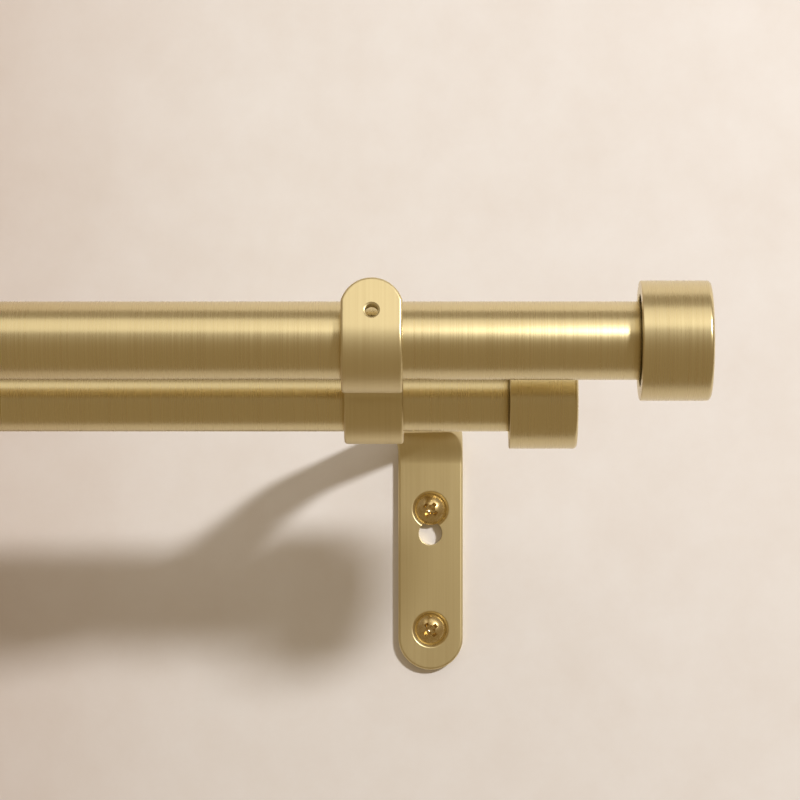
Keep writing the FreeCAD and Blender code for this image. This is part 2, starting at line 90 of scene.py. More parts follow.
def skinRings(bm, rings, lengths, closed=False, capped=False):
    # quads between rings of points, with U along the profile and V round the ring
    uvLayer = bm.loops.layers.uv.get(brushUv) or bm.loops.layers.uv.new(brushUv)
    steps = len(rings[0])
    verts = [[bm.verts.new(point) for point in ring] for ring in rings]
    spans = list(zip(range(len(rings) - 1), range(1, len(rings))))
    if closed:
        spans.append((len(rings) - 1, 0))
    for first, second in spans:
        u0 = lengths[first]
        u1 = lengths[second] if second else lengths[-1] + (rings[0][0] - rings[-1][0]).length
        around = sum((a - b).length for a, b in zip(rings[first], rings[first][1:])) * steps / (steps - 1)
        for step in range(steps):
            onward = (step + 1) % steps
            corners = (verts[first][step], verts[first][onward], verts[second][onward], verts[second][step])
            face = bm.faces.new(corners)
            face.smooth = True
            v0 = around * step / steps
            v1 = around * (step + 1) / steps
            for loop, spot in zip(face.loops, ((u0, v0), (u0, v1), (u1, v1), (u1, v0))):
                loop[uvLayer].uv = spot
    if capped:
        bm.faces.new(verts[0])
        bm.faces.new(verts[-1])
    bmesh.ops.remove_doubles(bm, verts=bm.verts, dist=weldGap)  # ring points that meet on the axis
    bmesh.ops.recalc_face_normals(bm, faces=bm.faces)


def softened(corners, pieces=6):
    # corners are (along, out, rounding): a corner with a rounding becomes an arc
    points = []
    for number, (along, out, rounding) in enumerate(corners):
        here = Vector((along, out))
        if not rounding:
            points.append(here)
            continue
        before = (Vector(corners[number - 1][:2]) - here).normalized()
        after = (Vector(corners[(number + 1) % len(corners)][:2]) - here).normalized()
        half = before.angle(after) / 2
        centre = here + (before + after).normalized() * rounding / math.sin(half)
        first = here + before * rounding / math.tan(half) - centre
        last = here + after * rounding / math.tan(half) - centre
        turn = math.pi - 2 * half
        for piece in range(pieces + 1):
            part = turn * piece / pieces
            points.append(centre + (first * math.sin(turn - part) + last * math.sin(part)) / math.sin(turn))
    return points


def runLengths(points):
    lengths = [0.0]
    for before, after in zip(points, points[1:]):
        lengths.append(lengths[-1] + (after - before).length)
    return lengths


def lathe(bm, profile, start, axis, steps=128, closed=False):
    # turns a profile of (along, out) points round an axis
    side = axis.orthogonal().normalized()
    other = axis.cross(side)
    rings = []
    for along, out in profile:
        ring = []
        for step in range(steps):
            angle = 2 * math.pi * step / steps
            ring.append(start + axis * along + (side * math.cos(angle) + other * math.sin(angle)) * out)
        rings.append(ring)
    skinRings(bm, rings, runLengths(profile), closed)


def settle(piece):
    # keeps what the modifiers give and drops them
    graph = bpy.context.evaluated_depsgraph_get()
    result = bpy.data.meshes.new_from_object(piece.evaluated_get(graph))
    piece.modifiers.clear()
    piece.data = result


def cutOut(piece, cutters):
    holders = []
    for number, bm in enumerate(cutters):
        mesh = bpy.data.meshes.new("cutter")
        bm.to_mesh(mesh)
        bm.free()
        holder = bpy.data.objects.new("cutter", mesh)
        bpy.context.scene.collection.objects.link(holder)
        holders.append(holder)
        cut = piece.modifiers.new("cut%d" % number, "BOOLEAN")
        cut.operation = "DIFFERENCE"
        cut.solver = "EXACT"
        cut.object = holder
    settle(piece)
    for holder in holders:
        bpy.data.objects.remove(holder)


def smoothFlats(piece, angle=32):
    # flat faces stay flat and only their rounded edges shade softly
    piece.data.polygons.foreach_set("use_smooth", [True] * len(piece.data.polygons))
    piece.data.set_sharp_from_angle(angle=math.radians(angle))
    weighted = piece.modifiers.new("flats", "WEIGHTED_NORMAL")
    weighted.keep_sharp = True
    settle(piece)


# Materials

brassLook = {
    "colour": "DBCC9F",
    "darkLine": "D7C79A",
    "tubeRoughness": 0.28,
    "strapRoughness": 0.41,
    "roughnessSpread": 0.05,
    "streakShare": 0.18,
    "darkBelow": 0.36,    # noise levels between which the tone turns
    "paleAbove": 0.62,
    "lineBump": 0.22,
    "lineWidth": 0.24,   # mm, real grit lines are finer: drawn as coarse as they need to show
    "streakWidth": 2.6,  # mm, broad bands left by the belt
    "lineLength": 30.0,  # mm
    "lineHeight": 0.006,  # mm
}


def brushedBrass(name, look, roughness):
    # satin brass: soft highlights combed by the fine grain that a belt leaves
    material = bpy.data.materials.new(name)
    material.use_nodes = True
    tree = material.node_tree
    shader = tree.nodes["Principled BSDF"]
    grainUv = addNode(tree, "ShaderNodeUVMap", {"uv_map": brushUv}, {})
    across = addNode(tree, "ShaderNodeSeparateXYZ", {}, {0: grainUv.outputs["UV"]})
    place = addNode(tree, "ShaderNodeTexCoord", {}, {})
    around = addNode(tree, "ShaderNodeSeparateXYZ", {}, {0: place.outputs["Object"]})
    grain = addNode(tree, "ShaderNodeCombineXYZ", {}, {
        "X": across.outputs["X"],
        "Y": around.outputs["Y"],
        "Z": around.outputs["Z"],
    })
    noises = []
    for width, detail in ((look["lineWidth"], 3.0), (look["streakWidth"], 2.0)):
        length = look["lineLength"]
        stretch = addNode(tree, "ShaderNodeMapping", {
            "Scale": (1 / (width * mm), 1 / (length * mm), 1 / (length * mm)),
        }, {"Vector": grain.outputs["Vector"]})
        noises.append(addNode(tree, "ShaderNodeTexNoise", {
            "Scale": 0.5,
            "Detail": detail,
            "Roughness": 0.6,
        }, {"Vector": stretch.outputs["Vector"]}))
    lines, streaks = noises
    both = addNode(tree, "ShaderNodeMix", {"Factor": look["streakShare"]}, {
        "A": lines.outputs["Fac"],
        "B": streaks.outputs["Fac"],
    })
    tone = addNode(tree, "ShaderNodeValToRGB", {}, {"Fac": both.outputs["Result"]})
    tone.color_ramp.elements[0].position = look["darkBelow"]
    tone.color_ramp.elements[0].color = linearColour(look["darkLine"])
    tone.color_ramp.elements[1].position = look["paleAbove"]
    tone.color_ramp.elements[1].color = linearColour(look["colour"])
    rough = addNode(tree, "ShaderNodeMapRange", {
        "From Min": 0.3,
        "From Max": 0.7,
        "To Min": roughness - look["roughnessSpread"] / 2,
        "To Max": roughness + look["roughnessSpread"] / 2,
    }, {"Value": both.outputs["Result"]})
    bump = addNode(tree, "ShaderNodeBump", {
        "Strength": look["lineBump"],
        "Distance": look["lineHeight"] * mm,
    }, {"Height": lines.outputs["Fac"]})
    shader.inputs["Metallic"].default_value = 1.0
    tree.links.new(tone.outputs["Color"], shader.inputs["Base Color"])
    tree.links.new(rough.outputs["Result"], shader.inputs["Roughness"])
    tree.links.new(bump.outputs["Normal"], shader.inputs["Normal"])
    return material


screwLook = {
    "colour": "DAC491",
    "wornColour": "C8AE77",
    "roughness": 0.2,
    "wornRoughness": 0.3,
    "wornBelow": 0.35,  # noise levels between which the plate turns dull
    "brightAbove": 0.65,
    "grit": 0.5,  # mm
}


def platedBrass(name, look):
    # bright brass plate on a pressed screw: sharp small highlights, dulled a little in patches
    material = bpy.data.materials.new(name)
    material.use_nodes = True
    tree = material.node_tree
    shader = tree.nodes["Principled BSDF"]
    place = addNode(tree, "ShaderNodeTexCoord", {}, {})
    patches = addNode(tree, "ShaderNodeTexNoise", {
        "Scale": 1 / (look["grit"] * 2 * mm),
        "Detail": 3.0,
    }, {"Vector": place.outputs["Object"]})
    tone = addNode(tree, "ShaderNodeValToRGB", {}, {"Fac": patches.outputs["Fac"]})
    tone.color_ramp.elements[0].position = look["wornBelow"]
    tone.color_ramp.elements[0].color = linearColour(look["wornColour"])
    tone.color_ramp.elements[1].position = look["brightAbove"]
    tone.color_ramp.elements[1].color = linearColour(look["colour"])
    rough = addNode(tree, "ShaderNodeMapRange", {
        "From Min": look["wornBelow"],
        "From Max": look["brightAbove"],
        "To Min": look["wornRoughness"],
        "To Max": look["roughness"],
    }, {"Value": patches.outputs["Fac"]})
    shader.inputs["Metallic"].default_value = 1.0
    tree.links.new(tone.outputs["Color"], shader.inputs["Base Color"])
    tree.links.new(rough.outputs["Result"], shader.inputs["Roughness"])
    return material


nylonLook = {
    "colour": "2B2723",
    "paleColour": "38332E",
    "roughness": 0.55,
    "ior": 1.53,
    "spark": 0.25,        # mm, texture of the mould
    "sparkHeight": 0.02,  # mm
    "sparkBump": 0.3,
}


def mouldedNylon(name, look):
    # black nylon from a spark-eroded mould: dull, with a faint even grain
    material = bpy.data.materials.new(name)
    material.use_nodes = True
    tree = material.node_tree
    shader = tree.nodes["Principled BSDF"]
    place = addNode(tree, "ShaderNodeTexCoord", {}, {})
    grain = addNode(tree, "ShaderNodeTexNoise", {
        "Scale": 1 / (look["spark"] * 2 * mm),
        "Detail": 2.0,
    }, {"Vector": place.outputs["Object"]})
    tone = addNode(tree, "ShaderNodeValToRGB", {}, {"Fac": grain.outputs["Fac"]})
    tone.color_ramp.elements[0].color = linearColour(look["colour"])
    tone.color_ramp.elements[1].color = linearColour(look["paleColour"])
    bump = addNode(tree, "ShaderNodeBump", {
        "Strength": look["sparkBump"],
        "Distance": look["sparkHeight"] * mm,
    }, {"Height": grain.outputs["Fac"]})
    shader.inputs["Roughness"].default_value = look["roughness"]
    shader.inputs["IOR"].default_value = look["ior"]
    tree.links.new(tone.outputs["Color"], shader.inputs["Base Color"])
    tree.links.new(bump.outputs["Normal"], shader.inputs["Normal"])
    return material


tubeBrass = brushedBrass("tubeBrass", brassLook, brassLook["tubeRoughness"])
strapBrass = brushedBrass("strapBrass", brassLook, brassLook["strapRoughness"])
plated = platedBrass("platedBrass", screwLook)
nylon = mouldedNylon("mouldedNylon", nylonLook)
print("materials:", len(bpy.data.materials))


# Poles

poleTube = {
    "wall": 1.0,
    "edgeRound": 0.15,
    "edgePieces": 3,
}


def poleAxis(pole):
    low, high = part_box(pole + "_pole")
    middle = (Vector(low) + Vector(high)) / 2
    return middle, (high[2] - low[2]) / 2


for pole in ("front", "back"):
    low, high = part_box(pole + "_pole")
    middle, radius = poleAxis(pole)
    inside = radius - poleTube["wall"] * mm
    edge = poleTube["edgeRound"] * mm
    length = high[0] - low[0]
    bm = bmesh.new()
    lathe(bm, softened([
        (0, inside, edge),
        (0, radius, edge),
        (length, radius, edge),
        (length, inside, edge),
    ], poleTube["edgePieces"]), Vector((low[0], middle.y, middle.z)), Vector((1, 0, 0)), closed=True)
    addPiece(pole + "Pole", bm, tubeBrass, "pole", pole + "_pole")
print("poles made")


# End caps

endCap = {
    "mouthGap": 1.8,   # open ring round the pole
    "endWall": 3.0,
    "faceRound": 1.0,
    "rimRound": 0.3,
    "mouthRound": 0.25,
}

for pole in ("front", "back"):
    middle, poleRadius = poleAxis(pole)
    for side, sign in (("Right", 1), ("Left", -1)):
        node = "%s_cap_%s" % (pole, side.lower())
        low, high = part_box(node)
        rim = low[0] if sign > 0 else high[0]
        length = high[0] - low[0]
        outside = (high[2] - low[2]) / 2
        bore = poleRadius + endCap["mouthGap"] * mm
        depth = length - endCap["endWall"] * mm
        bm = bmesh.new()
        lathe(bm, softened([
            (length, 0, 0),
            (length, outside, endCap["faceRound"] * mm),
            (0, outside, endCap["rimRound"] * mm),
            (0, bore, endCap["mouthRound"] * mm),
            (depth, bore, 0),
            (depth, 0, 0),
        ]), Vector((rim, middle.y, middle.z)), Vector((sign, 0, 0)))
        smoothFlats(addPiece(pole + "Cap" + side, bm, tubeBrass, "cap", node))
        bush = frame["nodes"]["%s_bush_%s" % (pole, side.lower())]
        bush.material_slots[0].material = nylon
print("end caps made")


# Folded strap brackets

strap = {
    "thickness": 3.0,
    "plateWidth": 18.0,
    "cupWidth": 14.8,
    "seatGap": 0.15,
    "joggleEnd": 38.0,   # the arm has stepped sideways by this far from the wall
    "joggleInside": 3.0,
    "joggleOutside": 10.0,
    "joggleAway": 20.0,
    "wallBend": 10.5,    # radii to the middle of the strip
    "armBlend": 6.0,
    "shoulder": 5.0,
    "bridgeBlend": 6.0,
    "backDip": 1.9,
    "frontDip": 2.0,
    "tongueCrown": 5.5,
    "tongueLean": 18.0,  # degrees, back over the front pole
    "edgeRound": 0.75,
    "edgeSegments": 4,
    "edgeAngle": 40.0,   # sharper edges are rounded
    "bendStep": 5.0,     # degrees for each strip of a bend
    "endSteps": 24,      # half-round foot and crown
    "flatSteps": 96,
    "pointWidth": 0.001,  # a narrower row of the strip is one point
}
strapHoles = {
    "screwDia": 5.0,
    "sinkDia": 10.2,
    "keyDia": 6.5,
    "keyDrop": 6.7,
    "setDia": 3.3,
    "setSinkDia": 3.8,
    "setPitch": 0.7,     # M4
    "threadDepth": 0.4,
    "lip": 0.18,         # broken edge
    "lipDeep": 0.4,      # shares of the lip, for the point that rounds it
    "lipWide": 0.3,
    "beyond": 1.0,       # the cutters run past both faces
    "steps": 72,
}


def bendRow(centre, radius, angle, turn):
    # a point of a bend and the direction that the left face looks in
    spoke = Vector((math.cos(angle), math.sin(angle)))
    return centre + spoke * radius, -spoke * turn


def strapRuns(foot, tip):
    # the strip's middle line in Y and Z from the plate's foot to the tongue's tip, flats and bends in turn
    half = strap["thickness"] * mm / 2
    bend = strap["wallBend"] * mm
    backMiddle, backRadius = poleAxis("back")
    frontMiddle, frontRadius = poleAxis("front")
    back = Vector((backMiddle.y, backMiddle.z))
    front = Vector((frontMiddle.y, frontMiddle.z))
    backCup = backRadius + strap["seatGap"] * mm + half
    frontCup = frontRadius + strap["seatGap"] * mm + half
    arm = back.y - backCup + strap["backDip"] * mm
    bridge = front.y - frontCup + strap["frontDip"] * mm

    def joinCentre(cup, cupRadius, level, radius, side):
        drop = level - radius - cup.y
        return Vector((cup.x + side * math.sqrt((cupRadius + radius) ** 2 - drop ** 2), level - radius))

    def heading(origin, target):
        return math.atan2(target.y - origin.y, target.x - origin.x)

    wallAt = Vector((-half - bend, arm - bend))
    armAt = joinCentre(back, backCup, arm, strap["armBlend"] * mm, 1)
    shoulderAt = joinCentre(back, backCup, bridge, strap["shoulder"] * mm, -1)
    bridgeAt = joinCentre(front, frontCup, bridge, strap["bridgeBlend"] * mm, 1)
    quarter = math.pi / 2
    armTurn = heading(armAt, back)
    bridgeTurn = heading(bridgeAt, front)
    cupTurn = heading(back, shoulderAt) % (2 * math.pi)
    lean = math.radians(strap["tongueLean"])
    leave = front + Vector((-math.cos(lean), math.sin(lean))) * frontCup
    top = tip - half * math.sin(lean)    # the tongue's front face ends highest
    rise = Vector((math.tan(lean), 1)) * (top - leave.y)
    return [
        ("flat", Vector((-half, foot)), Vector((-half, wallAt.y))),
        ("bend", wallAt, bend, 0, quarter),
        ("flat", Vector((wallAt.x, arm)), Vector((armAt.x, arm))),
        ("bend", armAt, strap["armBlend"] * mm, quarter, armTurn),
        ("bend", back, backCup, armTurn + math.pi, cupTurn),
        ("bend", shoulderAt, strap["shoulder"] * mm, cupTurn - math.pi, quarter),
        ("flat", Vector((shoulderAt.x, bridge)), Vector((bridgeAt.x, bridge))),
        ("bend", bridgeAt, strap["bridgeBlend"] * mm, quarter, bridgeTurn),
        ("bend", front, frontCup, bridgeTurn + math.pi, math.pi - lean),
        ("flat", leave, leave + rise),
    ]


def joggle(depth, wallX, cupX, near):
    # a side of the strip at a depth from the wall: straight, tight arc, slant, wider arc, straight
    far = strap["joggleAway"] * mm
    start = strap["thickness"] * mm
    end = strap["joggleEnd"] * mm
    run = end - start
    spare = near + far - (wallX - cupX)
    turned = math.asin((near + far) / math.hypot(run, spare)) - math.atan2(spare, run)
    gone = depth - start
    left = end - depth
    if gone <= 0:
        return wallX
    if left <= 0:
        return cupX
    if gone < near * math.sin(turned):
        return wallX - near + math.sqrt(near ** 2 - gone ** 2)
    if left < far * math.sin(turned):
        return cupX + far - math.sqrt(far ** 2 - left ** 2)
    return wallX - near * (1 - math.cos(turned)) - (gone - near * math.sin(turned)) * math.tan(turned)


def makeStrap(node):
    low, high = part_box(node)
    plateHalf = strap["plateWidth"] * mm / 2
    cupHalf = strap["cupWidth"] * mm / 2
    plateX = high[0] - plateHalf
    cupX = low[0] + cupHalf
    half = strap["thickness"] * mm / 2
    endSteps = strap["endSteps"]
    flatSteps = strap["flatSteps"]
    runs = strapRuns(low[2], high[2])

    def sides(y):
        return (
            joggle(-y, plateX - plateHalf, cupX - cupHalf, strap["joggleInside"] * mm),
            joggle(-y, plateX + plateHalf, cupX + cupHalf, strap["joggleOutside"] * mm),
        )

    # rows of (left x, right x, point, face direction), grouped as one flat or many bent strips
    groups = []
    for number, run in enumerate(runs):
        rows = []
        if run[0] == "bend":
            centre, radius, first, last = run[1:]
            turn = 1 if last > first else -1
            count = max(2, round(abs(last - first) / math.radians(strap["bendStep"])))
            for step in range(count + 1):
                point, face = bendRow(centre, radius, first + (last - first) * step / count, turn)
                rows.append((*sides(point.x), point, face))
        else:
            begin, finish = run[1:]
            direction = (finish - begin).normalized()
            face = Vector((-direction.y, direction.x))
            length = (finish - begin).length
            if number == 0:          # half-round foot
                spots = []
                for step in range(endSteps + 1):
                    angle = math.pi / 2 * step / endSteps
                    spots.append((plateHalf * (1 - math.cos(angle)), plateX, plateHalf * math.sin(angle)))
                spots.append((length, plateX, plateHalf))
            elif number == len(runs) - 1:    # crowned tongue
                crown = strap["tongueCrown"] * mm
                arcRadius = cupHalf ** 2 / (2 * crown) + crown / 2
                stretch = 1 / math.cos(math.radians(strap["tongueLean"]))
                spread = math.atan2(cupHalf, arcRadius - crown)
                spots = [(0, cupX, cupHalf)]
                for step in range(endSteps + 1):
                    angle = spread * (1 - step / endSteps)
                    drop = arcRadius * (1 - math.cos(angle)) * stretch
                    spots.append((length - drop, cupX, arcRadius * math.sin(angle)))
            else:
                spots = []
                for step in range(flatSteps + 1):
                    along = length * step / flatSteps
                    left, right = sides((begin + direction * along).x)
                    spots.append((along, (left + right) / 2, (right - left) / 2))
            for along, middle, width in spots:
                rows.append((middle - width, middle + width, begin + direction * along, face))
        groups.append((run[0], rows))

    bm = bmesh.new()
    uvLayer = bm.loops.layers.uv.new(brushUv)
    travelled = 0.0
    lastRow = None

    def addFace(verts, spots):
        face = bm.faces.new(verts)
        face.smooth = True
        for loop, spot in zip(face.loops, spots):
            loop[uvLayer].uv = spot

    for kind, rows in groups:
        made = []
        for left, right, point, face in rows:
            if lastRow and not made:
                made.append(lastRow)
                continue
            if made:
                travelled += (point - made[-1]["point"]).length
            corners = {}
            for layer in (1, -1):
                spot = point + face * half * layer
                ends = (left, right) if kind == "flat" else sides(spot.x)
                corners["left", layer] = bm.verts.new((ends[0], spot.x, spot.y))
                corners["right", layer] = corners["left", layer]
                if right - left > strap["pointWidth"] * mm:
                    corners["right", layer] = bm.verts.new((ends[1], spot.x, spot.y))
            made.append({"point": point, "at": travelled, "left": left, "right": right, "corners": corners})
        for before, after in zip(made, made[1:]):
            for side in ("left", "right"):
                verts = [before["corners"][side, 1], after["corners"][side, 1]]
                verts += [after["corners"][side, -1], before["corners"][side, -1]]
                edge = half if side == "right" else -half
                addFace(verts, [
                    (before[side] + edge, before["at"]),
                    (after[side] + edge, after["at"]),
                    (after[side] - edge, after["at"]),
                    (before[side] - edge, before["at"]),
                ])
        pairs = [made] if kind == "flat" else [[before, after] for before, after in zip(made, made[1:])]
        for group in pairs:
            for layer in (1, -1):
                loop = [(row["corners"]["left", layer], (row["left"], row["at"])) for row in group]
                loop += [
                    (row["corners"]["right", layer], (row["right"], row["at"]))
                    for row in reversed(group)
                ]
                seen = []
                for vert, spot in loop:
                    if not seen or (vert != seen[-1][0] and vert != seen[0][0]):
                        seen.append((vert, spot))
                addFace([vert for vert, spot in seen], [spot for vert, spot in seen])
        lastRow = made[-1]
    bmesh.ops.recalc_face_normals(bm, faces=bm.faces)
    name = node.replace("_right", "Right").replace("_left", "Left")
    piece = addPiece(name, bm, strapBrass, "strap", node)
    soft = piece.modifiers.new("softEdges", "BEVEL")
    soft.width = strap["edgeRound"] * mm
    soft.segments = strap["edgeSegments"]
    soft.limit_method = "ANGLE"
    soft.angle_limit = math.radians(strap["edgeAngle"])
    settle(piece)
    cutOut(piece, strapCutters(plateX, cupX))
    smoothFlats(piece)
    return piece


def holeCutter(place, axis, profile):
    # a turned cutter whose profile starts in front of a face
    bm = bmesh.new()
    lathe(bm, [Vector(point) for point in profile], Vector(place), Vector(axis), strapHoles["steps"])
    return bm


def strapCutters(plateX, cupX):
    thickness = strap["thickness"] * mm
    beyond = strapHoles["beyond"] * mm
    lip = strapHoles["lip"] * mm
    deep = strapHoles["lipDeep"]
    wide = strapHoles["lipWide"]
    level = mountNamed("wall_screws")["dims"]["spacing_y_mm"] * mm / 2
    hole = strapHoles["screwDia"] * mm / 2
    sink = strapHoles["sinkDia"] * mm / 2
    key = strapHoles["keyDia"] * mm / 2
    sunk = [
        (-beyond, 0),
        (-beyond, sink + lip),
        (0, sink + lip),
        (lip * deep, sink - lip * deep + lip * wide),
        (lip, sink - lip),
        (sink - hole, hole),
        (thickness + beyond, hole),
        (thickness + beyond, 0),
    ]
    keyhole = [
        (-beyond, 0),
        (-beyond, key + lip),
        (0, key + lip),
        (lip * wide, key + lip * wide),
        (lip, key),
        (thickness + beyond, key),
        (thickness + beyond, 0),
    ]
    setHole = strapHoles["setDia"] * mm / 2
    setSink = strapHoles["setSinkDia"] * mm / 2
    pitch = strapHoles["setPitch"] * mm
    thread = [
        (-beyond, 0),
        (-beyond, setSink + lip),
        (0, setSink + lip),
        (lip, setSink - lip / 2),
        (setSink - setHole, setHole),
    ]
    along = setSink - setHole
    while along < thickness:
        thread.append((along + pitch / 2, setHole + strapHoles["threadDepth"] * mm))
        thread.append((along + pitch, setHole))
        along += pitch
    thread += [(thickness + beyond, setHole), (thickness + beyond, 0)]
    setMount = mountNamed("set_hole_right")
    into = (0, 1, 0)
    return [
        holeCutter((plateX, -thickness, level), into, sunk),
        holeCutter((plateX, -thickness, -level), into, sunk),
        holeCutter((plateX, -thickness, level - strapHoles["keyDrop"] * mm), into, keyhole),
        holeCutter((cupX, *setMount["pos_m"][1:]), -Vector(setMount["axis"]), thread),
    ]


for side in ("right", "left"):
    makeStrap("bracket_" + side)
print("brackets made")


# Wall screws

wallScrew = {
    "headDia": 8.8,
    "headDome": 2.4,
    "headSink": 0.6,     # rim below the plate's face
    "rimHeight": 0.1,
    "rimInset": 0.02,
    "shankDia": 4.2,
    "coreDia": 3.0,
    "pitch": 1.8,
    "length": 38.0,
    "tip": 6.0,
    "plainNeck": 7.0,    # below the plate's face
    "crossLength": 4.9,
    "crossWidth": 1.25,
    "crossDepth": 2.0,
    "crossAbove": 0.5,   # the cutters start above the dome
    "crossMouth": 1.12,  # shares of the cross's size, which tapers inwards
    "crossFloor": 0.55,
    "pitDia": 3.0,
    "pitEndDia": 1.4,
    "pitEnd": 1.1,       # shares of the cross's depth
    "pitTip": 1.25,
    "pitSteps": 24,
    "ridgeShare": 0.28,  # half a ridge's share of the pitch
    "ringsPerTurn": 7,
    "domeSteps": 12,
    "steps": 40,
    "sharpAngle": 40,    # degrees
    "turns": {"upperRight": 38, "lowerRight": 52, "upperLeft": 15, "lowerLeft": 71},  # degrees
}


def makeScrew():
    # one screw along +Y, with height 0 on the plate's face
    head = wallScrew["headDia"] * mm / 2
    dome = wallScrew["headDome"] * mm
    sink = wallScrew["headSink"] * mm
    shank = wallScrew["shankDia"] * mm / 2
    core = wallScrew["coreDia"] * mm / 2
    length = wallScrew["length"] * mm
    ball = (head ** 2 + dome ** 2) / (2 * dome)
    spread = math.asin(head / ball)
    domeSteps = wallScrew["domeSteps"]
    profile = []
    for step in range(domeSteps + 1):
        angle = spread * step / domeSteps
        profile.append((sink - dome + ball * (1 - math.cos(angle)), ball * math.sin(angle)))
    rim = (sink + wallScrew["rimHeight"] * mm, head - wallScrew["rimInset"] * mm)
    profile += [rim, (sink + head - shank, shank)]
    steps = wallScrew["steps"]
    rings = []
    for along, out in profile:
        rings.append([(along, out)] * steps)
    neck = wallScrew["plainNeck"] * mm
    pitch = wallScrew["pitch"] * mm
    count = int((length - neck) / (pitch / wallScrew["ringsPerTurn"]))
    for step in range(count + 1):
        along = neck + (length - neck) * step / count
        taper = min(1.0, (length - along) / (wallScrew["tip"] * mm))
        start = min(1.0, (along - neck) / pitch)
        ring = []
        for turn in range(steps):
            phase = (along / pitch - turn / steps) % 1.0
            ridge = max(0.0, 1 - abs(phase - 0.5) / wallScrew["ridgeShare"])
            root = shank + (core - shank) * start
            ring.append((along, (root + (shank - root) * ridge) * taper))
        rings.append(ring)
    points = []
    for ring in rings:
        spots = []
        for turn, (along, out) in enumerate(ring):
            angle = 2 * math.pi * turn / steps
            spots.append(Vector((out * math.cos(angle), along, out * math.sin(angle))))
        points.append(spots)
    bm = bmesh.new()
    skinRings(bm, points, runLengths([ring[0] for ring in points]))
    mesh = bpy.data.meshes.new("screw")
    bm.to_mesh(mesh)
    bm.free()
    screw = bpy.data.objects.new("screw", mesh)
    bpy.context.scene.collection.objects.link(screw)
    top = sink - dome
    depth = wallScrew["crossDepth"] * mm
    above = wallScrew["crossAbove"] * mm
    pitRadius = wallScrew["pitDia"] * mm / 2
    pitEnd = wallScrew["pitEndDia"] * mm / 2
    cutters = []
    for turned in (0, 1):
        rings = []
        for along, size in ((top - above, wallScrew["crossMouth"]), (top + depth, wallScrew["crossFloor"])):
            wide = wallScrew["crossLength"] * mm / 2 * size
            tall = wallScrew["crossWidth"] * mm / 2 * (0.5 + size / 2)
            if turned:
                wide, tall = tall, wide
            signs = ((1, 1), (-1, 1), (-1, -1), (1, -1))
            rings.append([Vector((x * wide, along, z * tall)) for x, z in signs])
        cutter = bmesh.new()
        skinRings(cutter, rings, [0, depth], capped=True)
        cutters.append(cutter)
    pit = bmesh.new()
    lathe(pit, [Vector(spot) for spot in (
        (-above, 0),
        (-above, pitRadius),
        (depth * wallScrew["pitEnd"], pitEnd),
        (depth * wallScrew["pitTip"], 0),
    )], Vector((0, top, 0)), Vector((0, 1, 0)), wallScrew["pitSteps"])
    cutters.append(pit)
    cutOut(screw, cutters)
    return screw


spacing = mountNamed("wall_screws")["dims"]
screw = makeScrew()
bm = bmesh.new()
for place, turn in wallScrew["turns"].items():
    single = bmesh.new()
    single.from_mesh(screw.data)
    x = spacing["spacing_x_mm"] * mm / 2 * (1 if place.endswith("Right") else -1)
    z = spacing["spacing_y_mm"] * mm / 2 * (1 if place.startswith("upper") else -1)
    spin = Matrix.Rotation(math.radians(turn), 4, "Y")
    move = Matrix.Translation((x, -strap["thickness"] * mm, z))
    single.transform(move @ spin)
    copy = bpy.data.meshes.new("copy")
    single.to_mesh(copy)
    single.free()
    bm.from_mesh(copy)
    bpy.data.meshes.remove(copy)
bpy.data.objects.remove(screw)
smoothFlats(addPiece("wallScrews", bm, plated, "screw", "wall_screws"), wallScrew["sharpAngle"])
print("wall screws made")


# Wall

wallLook = {
    "size": 4.0,         # m
    "face": -0.2,        # mm, so that light from behind reaches the plates' backs
    "paint": "E7E4E4",
    "paintWarm": "E2DDDB",
    "shade": "EBE2DD",   # painted shade: the wall is painted darker to the left, where it falls away from the light
    "paintedShadeFrom": 0.25,   # m
    "paintedShadeTo": 0.1,
    "mottle": 24.0,      # mm
    "roller": 1.6,       # mm, texture of the roller
    "rollerHeight": 0.1,  # mm
    "rollerBump": 0.12,
    "roughness": 0.9,
    "specular": 0.15,
    "warmBelow": 0.3,    # noise levels between which the tone turns
    "paleAbove": 0.7,
}


